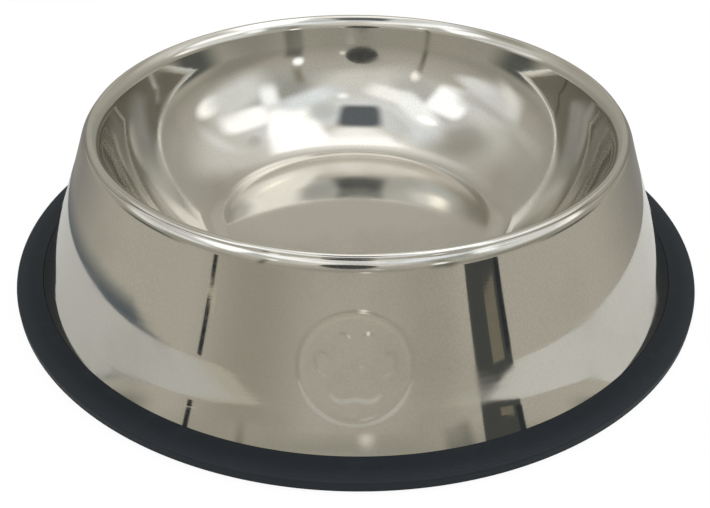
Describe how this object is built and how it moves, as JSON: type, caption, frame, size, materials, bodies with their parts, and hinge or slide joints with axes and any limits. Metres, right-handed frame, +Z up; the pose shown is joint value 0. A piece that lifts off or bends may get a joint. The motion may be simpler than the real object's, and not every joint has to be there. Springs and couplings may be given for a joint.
{
  "type": "pet bowl",
  "caption": "Round non-tip pet bowl: a drawn steel pan folded over a flared steel skirt that stands in a non-skid rubber ring.",
  "frame": {"origin": "on the ground under the middle of the bowl", "axes": "+Z up along the bowl's axis"},
  "size_m": [0.254, 0.254, 0.057],
  "materials": {
    "pan_steel": "mirror polished with fine polishing lines",
    "skirt_steel": "mirror polished with fine polishing lines",
    "ring_rubber": "satin moulded"
  },
  "bodies": {
    "root": {"feeding_pan": "pan_steel", "outer_skirt": "skirt_steel", "base_ring": "ring_rubber"}
  },
  "joints": []
}
